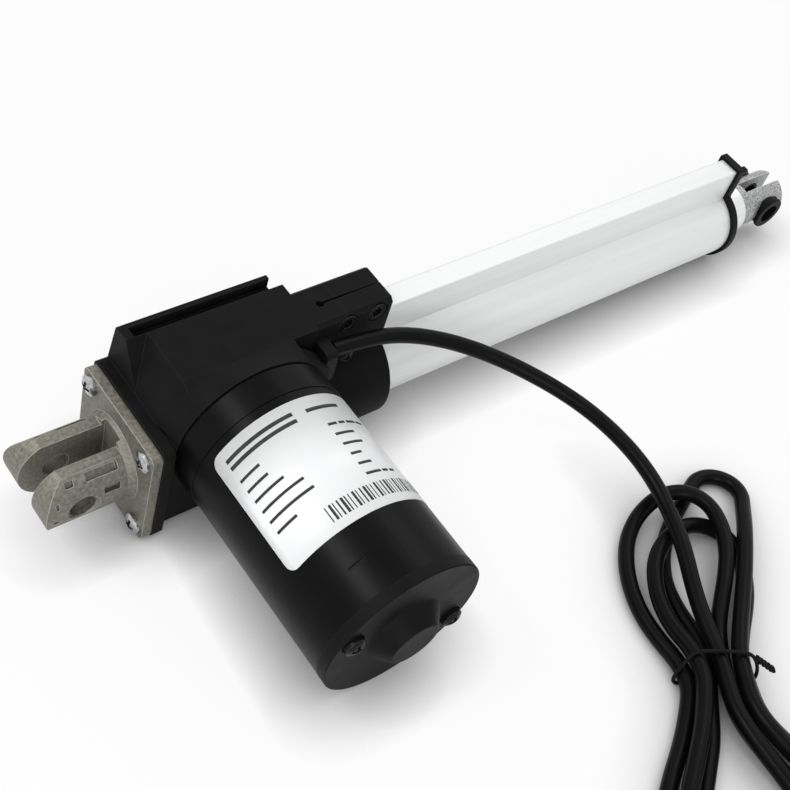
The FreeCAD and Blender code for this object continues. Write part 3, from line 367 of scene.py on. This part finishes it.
def bent_sheet(name, outlines, lift, thickness):
    """Flat outlines, cut into strips, bent round the motor and given a thickness."""
    sheet = bmesh.new()
    for outline in outlines:
        sheet.faces.new([sheet.verts.new((across, down, 0)) for across, down in outline])
    for k in range(1, int(label_width / STRIP_WIDTH) + 1):
        parts = sheet.verts[:] + sheet.edges[:] + sheet.faces[:]
        bmesh.ops.bisect_plane(sheet, geom=parts, plane_co=(k * STRIP_WIDTH, 0, 0), plane_no=(1, 0, 0))
    for vert in sheet.verts:
        turn = LABEL_LEFT - vert.co.x / case_radius
        reach = case_radius + lift
        x, z = motor_axis[0] + reach * math.cos(turn), motor_axis[1] + reach * math.sin(turn)
        vert.co = Vector((x, label_high.y - vert.co.y, z)) * MM
    bmesh.ops.recalc_face_normals(sheet, faces=sheet.faces[:])
    middle = Vector((motor_axis[0], label_high.y, motor_axis[1])) * MM
    if sum((face.calc_center_median() - middle).dot(face.normal) for face in sheet.faces) < 0:
        bmesh.ops.reverse_faces(sheet, faces=sheet.faces[:])
    mesh = bpy.data.meshes.new(name)
    sheet.to_mesh(mesh)
    sheet.free()
    mesh.shade_smooth()
    piece = bpy.data.objects.new(name, mesh)
    bpy.context.scene.collection.objects.link(piece)
    body = piece.modifiers.new("thickness", "SOLIDIFY")
    body.thickness = thickness * MM
    body.offset = 1.0
    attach(piece, "actuator_body")
    return piece


film_outline = rounded_outline(0, 0, label_width, label_height, LABEL_CORNER)
label = bent_sheet("rating_label_film", [film_outline], LABEL_LIFT, FILM_THICKNESS)
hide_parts("rating_label")
print("label is", round(label_width, 1), "by", round(label_height, 1), "mm")

# %% [markdown]
# The rows of the print differ in length, as entries on a form do, so each row is a short list of bar
# lengths with a small gap between bars. The stripes repeat, so a loop sets them out.

# %% Label print
FIELD_LEFT = 5.0
ENTRY_LEFT = 42.0
ROW_TOP = 13.0
ROW_PITCH = 4.5
ROW_HEIGHT = 1.1
BAR_GAP = 0.9
FIELD_ROWS = ((9.0,), (9.5,), (13.0,), (18.0,), (19.0,), (9.0,))
ENTRY_ROWS = ((4.0, 3.0, 5.0, 4.5), (9.0,), (9.5,), (5.0,), (6.0,), (7.0, 3.0, 3.0))
STRIPE_LEFT = 22.0
STRIPE_TOP = 40.0
STRIPE_HEIGHT = 6.0
STRIPE_PITCH = 1.5
STRIPE_WIDTHS = (0.4, 0.9, 0.4, 0.6, 1.0, 0.5)
STRIPE_COUNT = 31
INK_CORNER = 0.15
HEADING_BARS = ((FIELD_LEFT, 4.0, 28.0, 1.5), (FIELD_LEFT, 7.0, 28.0, 1.5), (38.0, 5.0, 15.0, 1.5))


def bar(left, top, width, height):
    """One printed bar with barely rounded corners."""
    return rounded_outline(left, top, width, height, INK_CORNER)


def bar_row(left, top, lengths):
    """Bars of one row, set one after the other."""
    bars = []
    for length in lengths:
        bars.append(bar(left, top, length, ROW_HEIGHT))
        left += length + BAR_GAP
    return bars


bars = [bar(*place) for place in HEADING_BARS]
for k, (field, entry) in enumerate(zip(FIELD_ROWS, ENTRY_ROWS)):
    top = ROW_TOP + k * ROW_PITCH
    bars += bar_row(FIELD_LEFT, top, field) + bar_row(ENTRY_LEFT, top, entry)
for k in range(STRIPE_COUNT):
    width = STRIPE_WIDTHS[k % len(STRIPE_WIDTHS)]
    bars.append(bar(STRIPE_LEFT + k * STRIPE_PITCH, STRIPE_TOP, width, STRIPE_HEIGHT))
label_print = bent_sheet("rating_label_print", bars, INK_LIFT, INK_THICKNESS)
print("bars on the label:", len(bars))

# %% [markdown]
# The floor is a large plain sheet on the table plane. It is almost white, so that it takes the soft
# shadows and still melts into the background.

# %% Floor
FLOOR_HALF = 4.0

floor_mesh = bpy.data.meshes.new("studio_floor")
corners = [(sx * FLOOR_HALF, sy * FLOOR_HALF) for sx, sy in ((-1, -1), (1, -1), (1, 1), (-1, 1))]
floor_points = [(x, y, TABLE_LEVEL * MM + TABLE_SLOPE.dot(Vector((x, y)))) for x, y in corners]
floor_mesh.from_pydata(floor_points, [], [(0, 1, 2, 3)])
floor = bpy.data.objects.new("studio_floor", floor_mesh)
bpy.context.scene.collection.objects.link(floor)
floor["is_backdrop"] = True
print("floor is", 2 * FLOOR_HALF, "m wide")

# %% [markdown]
# The light is that of a white studio: an even glow from all round and three lamps. One stands beyond the
# rod's end and lays the shadows towards the rear clevis, and one stands on the camera's side. The smallest
# is behind, where the motor's round side mirrors it to the camera as a soft bright band: without such a
# band, black paint looks like a hole. The background seen by the camera, and in metal, is plain white of
# strength 1. Light Path picks those rays out, so the white of the picture adds no light to the object.

# %% Light
GLOW = 0.46
LAMPS = {
    "side_lamp": {"place": (0.8, 0.2, 0.95), "size": 0.7, "power": 2.3},
    "front_lamp": {"place": (-0.5, -0.95, 0.6), "size": 0.8, "power": 5.6},
    "back_lamp": {"place": (-0.58, 0.35, 0.93), "size": 0.4, "power": 4.6},
}
LAMP_AIM = Vector((0.15, -0.05, 0.0))

scene = bpy.context.scene
scene.view_settings.view_transform = "Standard"
scene.world = bpy.data.worlds.new("studio")
scene.world.use_nodes = True
world_nodes = scene.world.node_tree.nodes
world_links = scene.world.node_tree.links
glow = world_nodes["Background"]
glow.inputs["Strength"].default_value = GLOW
glow.inputs["Color"].default_value = (1.0, 1.0, 1.0, 1.0)
white = world_nodes.new("ShaderNodeBackground")
white.inputs["Color"].default_value = (1.0, 1.0, 1.0, 1.0)
rays = world_nodes.new("ShaderNodeLightPath")
seen = rays.outputs["Is Camera Ray"]
for kind in ("Is Glossy Ray", "Is Transmission Ray"):
    either = world_nodes.new("ShaderNodeMath")
    either.operation = "MAXIMUM"
    world_links.new(seen, either.inputs[0])
    world_links.new(rays.outputs[kind], either.inputs[1])
    seen = either.outputs[0]
mixed = world_nodes.new("ShaderNodeMixShader")
world_links.new(seen, mixed.inputs[0])
world_links.new(glow.outputs[0], mixed.inputs[1])
world_links.new(white.outputs[0], mixed.inputs[2])
world_links.new(mixed.outputs[0], world_nodes["World Output"].inputs["Surface"])

for name, lamp in LAMPS.items():
    light = bpy.data.lights.new(name, "AREA")
    light.shape = "DISK"
    light.size = lamp["size"]
    light.energy = lamp["power"]
    holder = bpy.data.objects.new(name, light)
    holder.location = lamp["place"]
    holder.rotation_euler = (Vector(lamp["place"]) - LAMP_AIM).to_track_quat("Z", "Y").to_euler()
    scene.collection.objects.link(holder)
print("lamps:", ", ".join(LAMPS))

# %% [markdown]
# Most finishes here share one build-up: a base tone that wanders a little, a roughness that wanders with
# it, a fine grain in the surface, and softened edges that catch the light. Where a finish asks for it, a
# painted highlight also lightens the colour along those edges. One function lays these layers, and each
# finish is then a short list of what it is made of. Sizes are in millimetres, as on the bench.

# %% Finish builder
TONE_FIRST, TONE_SPREAD = 0.25, 0.5
CLOUD_LOW, CLOUD_HIGH = 0.3, 0.7
CLOUD_DETAIL = 5.0
SPECK_DETAIL = 2.0
EDGE_SAMPLES = 6
EDGE_FLAT, EDGE_FULL_HIGHLIGHT = 0.995, 0.85
MIX_SHARE, MIX_UNDER, MIX_OVER, MIX_RESULT = 0, 6, 7, 2


def add_node(material, kind, inputs=None, **settings):
    """A shader node with its settings and inputs; an input that is a socket is linked."""
    made = material.node_tree.nodes.new("ShaderNode" + kind)
    for key, value in settings.items():
        setattr(made, key, value)
    for key, value in (inputs or {}).items():
        if isinstance(value, bpy.types.NodeSocket):
            material.node_tree.links.new(value, made.inputs[key])
        else:
            made.inputs[key].default_value = value
    return made


def tone_ramp(material, factor, tones):
    """A colour ramp over tones, spread evenly."""
    ramp = add_node(material, "ValToRGB", {"Fac": factor})
    stops = ramp.color_ramp.elements
    while len(stops) < len(tones):
        stops.new(0.5)
    for k, (stop, tone) in enumerate(zip(stops, tones)):
        stop.position = TONE_FIRST + TONE_SPREAD * k / (len(tones) - 1)
        stop.color = (*tone, 1.0)
    return ramp.outputs["Color"]


def finish(name, tones, mottle, rough, grain, height, edge, painted_edge_highlight=None, metal=0.0, stretch=(1, 1, 1),
           specular=0.5):
    """A layered finish: tones and roughness over mottle mm, grain of a height in mm, edges rounded by mm."""
    material = bpy.data.materials.new(name)
    material.use_nodes = True
    shader = material.node_tree.nodes["Principled BSDF"]
    shader.inputs["Metallic"].default_value = metal
    shader.inputs["Specular IOR Level"].default_value = specular
    place = add_node(material, "TexCoord").outputs["Object"]
    place = add_node(material, "Mapping", {"Vector": place, "Scale": stretch}).outputs["Vector"]
    cloud_inputs = {"Vector": place, "Scale": 1 / (mottle * MM), "Detail": CLOUD_DETAIL}
    clouds = add_node(material, "TexNoise", cloud_inputs).outputs["Fac"]
    speck_inputs = {"Vector": place, "Scale": 1 / (grain * MM), "Detail": SPECK_DETAIL}
    specks = add_node(material, "TexNoise", speck_inputs).outputs["Fac"]
    soft_edge = add_node(material, "Bevel", {"Radius": edge * MM}, samples=EDGE_SAMPLES).outputs["Normal"]
    colour = tone_ramp(material, clouds, tones)
    # Painted highlight: towards sharp edges the base colour is mixed with a lighter tone, as if the edges
    # caught the light.
    if painted_edge_highlight:
        flat = add_node(material, "NewGeometry").outputs["Normal"]
        match = add_node(material, "VectorMath", {0: soft_edge, 1: flat}, operation="DOT_PRODUCT")
        edge_highlight_range = {"Value": match.outputs["Value"], "From Min": EDGE_FLAT, "From Max": EDGE_FULL_HIGHLIGHT}
        edge_highlight_share = add_node(material, "MapRange", edge_highlight_range).outputs["Result"]
        layers = {MIX_SHARE: edge_highlight_share, MIX_UNDER: colour, MIX_OVER: (*painted_edge_highlight, 1.0)}
        colour = add_node(material, "Mix", layers, data_type="RGBA").outputs[MIX_RESULT]
    gloss_range = {"Value": clouds, "From Min": CLOUD_LOW, "From Max": CLOUD_HIGH}
    gloss_range.update({"To Min": rough[0], "To Max": rough[1]})
    gloss = add_node(material, "MapRange", gloss_range).outputs["Result"]
    bump_inputs = {"Height": specks, "Distance": height * MM, "Normal": soft_edge}
    bump = add_node(material, "Bump", bump_inputs).outputs["Normal"]
    for key, socket in (("Base Color", colour), ("Roughness", gloss), ("Normal", bump)):
        material.node_tree.links.new(socket, shader.inputs[key])
    return material


finishes = {}


def add_finishes(recipes):
    """Builds each finish of a table under its own name."""
    for name, recipe in recipes.items():
        finishes[name] = finish(name, **recipe)
    print("finishes added:", ", ".join(recipes))


print("finish builder ready")

# %% [markdown]
# The black parts look alike at first sight and are not: the housing is a satin moulding with a fine
# texture, the motor is painted steel with a smoother skin and a duller coat on its end, the cap and bushes
# are plain moulded plastic, and the seals are dull rubber. Roughness and grain tell them apart.

# %% Black finishes
# Painted highlight: the edge tones of the housing, the motor's end and the screws lighten their edges.
add_finishes({
    "housing_plastic": dict(
        tones=[(0.007, 0.0072, 0.0074), (0.011, 0.0112, 0.0114)], mottle=9.0, rough=(0.46, 0.56),
        grain=0.45, height=0.012, edge=0.45, painted_edge_highlight=(0.026, 0.0265, 0.0265), specular=0.04),
    "motor_paint": dict(
        tones=[(0.0018, 0.0018, 0.002), (0.0036, 0.0036, 0.0038)], mottle=14.0, rough=(0.31, 0.36),
        grain=0.8, height=0.006, edge=0.3, specular=0.075),
    "end_cap_paint": dict(
        tones=[(0.006, 0.006, 0.0062), (0.01, 0.01, 0.0102)], mottle=7.0, rough=(0.42, 0.52),
        grain=0.6, height=0.014, edge=0.3, painted_edge_highlight=(0.03, 0.03, 0.03), specular=0.05),
    "black_plastic": dict(
        tones=[(0.006, 0.006, 0.0062), (0.009, 0.009, 0.0092)], mottle=6.0, rough=(0.4, 0.5),
        grain=0.4, height=0.01, edge=0.3, specular=0.06),
    "black_rubber": dict(
        tones=[(0.005, 0.005, 0.005), (0.008, 0.008, 0.008)], mottle=4.0, rough=(0.6, 0.75),
        grain=0.3, height=0.015, edge=0.2, specular=0.04),
    "cord_jacket": dict(
        tones=[(0.0025, 0.0025, 0.0027), (0.0045, 0.0045, 0.0047)], mottle=12.0, rough=(0.3, 0.4),
        grain=0.5, height=0.008, edge=0.1, specular=0.07),
    "black_screw": dict(
        tones=[(0.005, 0.005, 0.005), (0.012, 0.0118, 0.0115)], mottle=1.5, rough=(0.28, 0.4),
        grain=0.2, height=0.006, edge=0.35, painted_edge_highlight=(0.075, 0.075, 0.075), metal=0.2, specular=0.12),
})

# %% [markdown]
# The two clevises are raw castings. The rear one is dull olive grey, and its edges get a pale painted
# highlight;
# the front one sparkles, with a coarse grain under silver paint, and its edges get a painted highlight too.
# The screws of the rear plate are bright zinc.

# %% Cast and plated finishes
# Painted highlight: the edge tones lighten the edges of both castings.
add_finishes({
    "clevis_casting": dict(
        tones=[(0.12, 0.113, 0.094), (0.2, 0.19, 0.16), (0.3, 0.285, 0.243)], mottle=1.3,
        rough=(0.45, 0.64), grain=0.5, height=0.06, edge=0.5, painted_edge_highlight=(0.5, 0.48, 0.42), metal=0.55),
    "silver_casting": dict(
        tones=[(0.08, 0.082, 0.082), (0.34, 0.345, 0.345), (0.72, 0.725, 0.725)], mottle=0.7,
        rough=(0.3, 0.5), grain=0.55, height=0.09, edge=0.4, painted_edge_highlight=(0.75, 0.75, 0.75), metal=0.8),
    "zinc_screw": dict(
        tones=[(0.3, 0.305, 0.31), (0.6, 0.61, 0.62)], mottle=1.2, rough=(0.14, 0.26),
        grain=0.25, height=0.006, edge=0.15, metal=1.0),
})

# %% [markdown]
# The profile and the rod are drawn aluminium with a satin anodised skin. Drawing leaves faint lines along
# the length, so the same noise is stretched along X by a mapping scale of a small share.

# %% Drawn aluminium
DRAWN = (0.03, 1, 1)

# Painted highlight: the profile's edge tone lightens its edges.
add_finishes({
    "profile_aluminium": dict(
        tones=[(0.79, 0.8, 0.802), (0.85, 0.858, 0.86)], mottle=3.0, rough=(0.42, 0.52),
        grain=0.35, height=0.004, edge=0.3, painted_edge_highlight=(0.9, 0.9, 0.9), metal=0.3, stretch=DRAWN),
    "rod_aluminium": dict(
        tones=[(0.76, 0.765, 0.77), (0.84, 0.845, 0.85)], mottle=3.0, rough=(0.28, 0.36),
        grain=0.3, height=0.003, edge=0.2, metal=0.75, stretch=DRAWN),
})

# %% [markdown]
# Inside the housing sit the parts that make it move. They show when the part is taken apart, so each
# gets the finish of its own material as well. The label's film and ink need the same few layers, and stand
# at the end of the list. All of these have small, crisp edges.

# %% Inner finishes and label
CRISP = 0.15

add_finishes({
    "bearing_steel": dict(
        tones=[(0.5, 0.51, 0.52), (0.66, 0.67, 0.68)], mottle=4.0, rough=(0.2, 0.32),
        grain=0.3, height=0.003, edge=CRISP, metal=1.0),
    "gear_bronze": dict(
        tones=[(0.42, 0.26, 0.1), (0.56, 0.37, 0.16)], mottle=3.0, rough=(0.28, 0.42),
        grain=0.4, height=0.006, edge=CRISP, metal=1.0),
    "shaft_steel": dict(
        tones=[(0.42, 0.43, 0.44), (0.58, 0.59, 0.6)], mottle=5.0, rough=(0.22, 0.36),
        grain=0.3, height=0.004, edge=CRISP, metal=1.0),
    "nut_acetal": dict(
        tones=[(0.62, 0.6, 0.54), (0.74, 0.72, 0.66)], mottle=5.0, rough=(0.4, 0.52),
        grain=0.5, height=0.008, edge=CRISP),
    "core_steel": dict(
        tones=[(0.22, 0.225, 0.23), (0.34, 0.345, 0.35)], mottle=2.0, rough=(0.4, 0.55),
        grain=0.5, height=0.01, edge=CRISP, metal=0.9),
    "magnet_ferrite": dict(
        tones=[(0.03, 0.03, 0.032), (0.055, 0.055, 0.057)], mottle=3.0, rough=(0.6, 0.75),
        grain=0.4, height=0.02, edge=CRISP, metal=0.2),
    "copper": dict(
        tones=[(0.62, 0.27, 0.13), (0.78, 0.38, 0.2)], mottle=2.0, rough=(0.25, 0.4),
        grain=0.5, height=0.01, edge=CRISP, metal=1.0),
    "carbon": dict(
        tones=[(0.02, 0.02, 0.021), (0.04, 0.04, 0.041)], mottle=1.5, rough=(0.55, 0.7),
        grain=0.3, height=0.01, edge=CRISP, metal=0.1),
    "switch_board": dict(
        tones=[(0.02, 0.1, 0.05), (0.03, 0.15, 0.075)], mottle=6.0, rough=(0.35, 0.5),
        grain=0.5, height=0.006, edge=CRISP),
    "contact_nickel": dict(
        tones=[(0.6, 0.58, 0.54), (0.76, 0.74, 0.7)], mottle=2.0, rough=(0.16, 0.28),
        grain=0.3, height=0.003, edge=CRISP, metal=1.0),
    "label_ink": dict(
        tones=[(0.03, 0.03, 0.032), (0.07, 0.07, 0.072)], mottle=4.0, rough=(0.45, 0.55),
        grain=0.4, height=0.002, edge=CRISP),
    "label_film": dict(
        tones=[(0.88, 0.89, 0.895), (0.92, 0.93, 0.935)], mottle=20.0, rough=(0.29, 0.31),
        grain=0.6, height=0.002, edge=CRISP),
})

# %% [markdown]
# The floor's finish is the plainest of all, but a single flat white shows every trace of noise. A very
# faint, very wide mottle keeps it natural. In a white studio the light comes from everywhere, and a shadow
# is dark only close to the object. So a large share of white of strength 1 is mixed in for the rays that
# Light Path knows as seen, and ambient occlusion, which measures how far a spot is walled in, dims that
# white near the contact. That dimming is a painted contact shadow; the real shadow of the lamps stays only
# in the small share that is left.

# %% Floor finish
FLOOR_WHITE = 0.86
CONTACT_REACH = 25.0
CONTACT_DEPTH = 1.3
CONTACT_SAMPLES = 16

floor_finish = finish(
    "studio_floor", tones=[(0.93, 0.93, 0.93), (0.95, 0.95, 0.95)], mottle=400.0, rough=(0.75, 0.8),
    grain=8.0, height=0.0, edge=0.1)
floor_nodes = floor_finish.node_tree.nodes
# Painted shade: ambient occlusion dims the floor's white near the actuator.
reach = {"Distance": CONTACT_REACH * MM}
contact = add_node(floor_finish, "AmbientOcclusion", reach, samples=CONTACT_SAMPLES)
depth = {0: contact.outputs["AO"], 1: CONTACT_DEPTH}
white_under_painted_shade = add_node(floor_finish, "Math", depth, operation="POWER").outputs[0]
bare_white = add_node(floor_finish, "Emission", {"Color": (1.0, 1.0, 1.0, 1.0), "Strength": white_under_painted_shade})
floor_rays = add_node(floor_finish, "LightPath").outputs
watched = floor_rays["Is Camera Ray"]
for kind in ("Is Glossy Ray", "Is Transmission Ray"):
    either = {0: watched, 1: floor_rays[kind]}
    watched = add_node(floor_finish, "Math", either, operation="MAXIMUM").outputs[0]
share = add_node(floor_finish, "Math", {0: watched, 1: FLOOR_WHITE}, operation="MULTIPLY").outputs[0]
layers = {0: share, 1: floor_nodes["Principled BSDF"].outputs[0], 2: bare_white.outputs[0]}
whitened = add_node(floor_finish, "MixShader", layers).outputs[0]
floor_finish.node_tree.links.new(whitened, floor_nodes["Material Output"].inputs["Surface"])
floor.data.materials.append(floor_finish)
print("floor is white to", FLOOR_WHITE, "and dimmed within", CONTACT_REACH, "mm of a contact")

# %% [markdown]
# Now the finishes go on. The record says which material every solid is made of, so one loop dresses them
# all. The motor's end then gets its duller coat. The cord, tie, plug and label are new pieces and are
# dressed by name.

# %% Dress the solids
for part in frame["record"]["subparts"]:
    mesh = frame["nodes"][part["node"]].data
    mesh.materials.clear()
    mesh.materials.append(finishes[part["material_slot"]])
frame["nodes"]["motor_end_cap"].data.materials[0] = finishes["end_cap_paint"]
cord.data.materials.append(finishes["cord_jacket"])
for piece in (tie, tie_twist, plug):
    piece.data.materials.append(finishes["black_plastic"])
label.data.materials.append(finishes["label_film"])
label_print.data.materials.append(finishes["label_ink"])

# %% [markdown]
# Last, the size of the dressed model is written beside that of the bare solids. The finishes must not
# make the actuator grow.

# %% Size and finish
dressed_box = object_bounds()
solid_size, dressed_size = (box[1] - box[0] for box in (solid_box, dressed_box))
print("grown by", [round(dressed - solid, 4) for solid, dressed in zip(solid_size, dressed_size)])
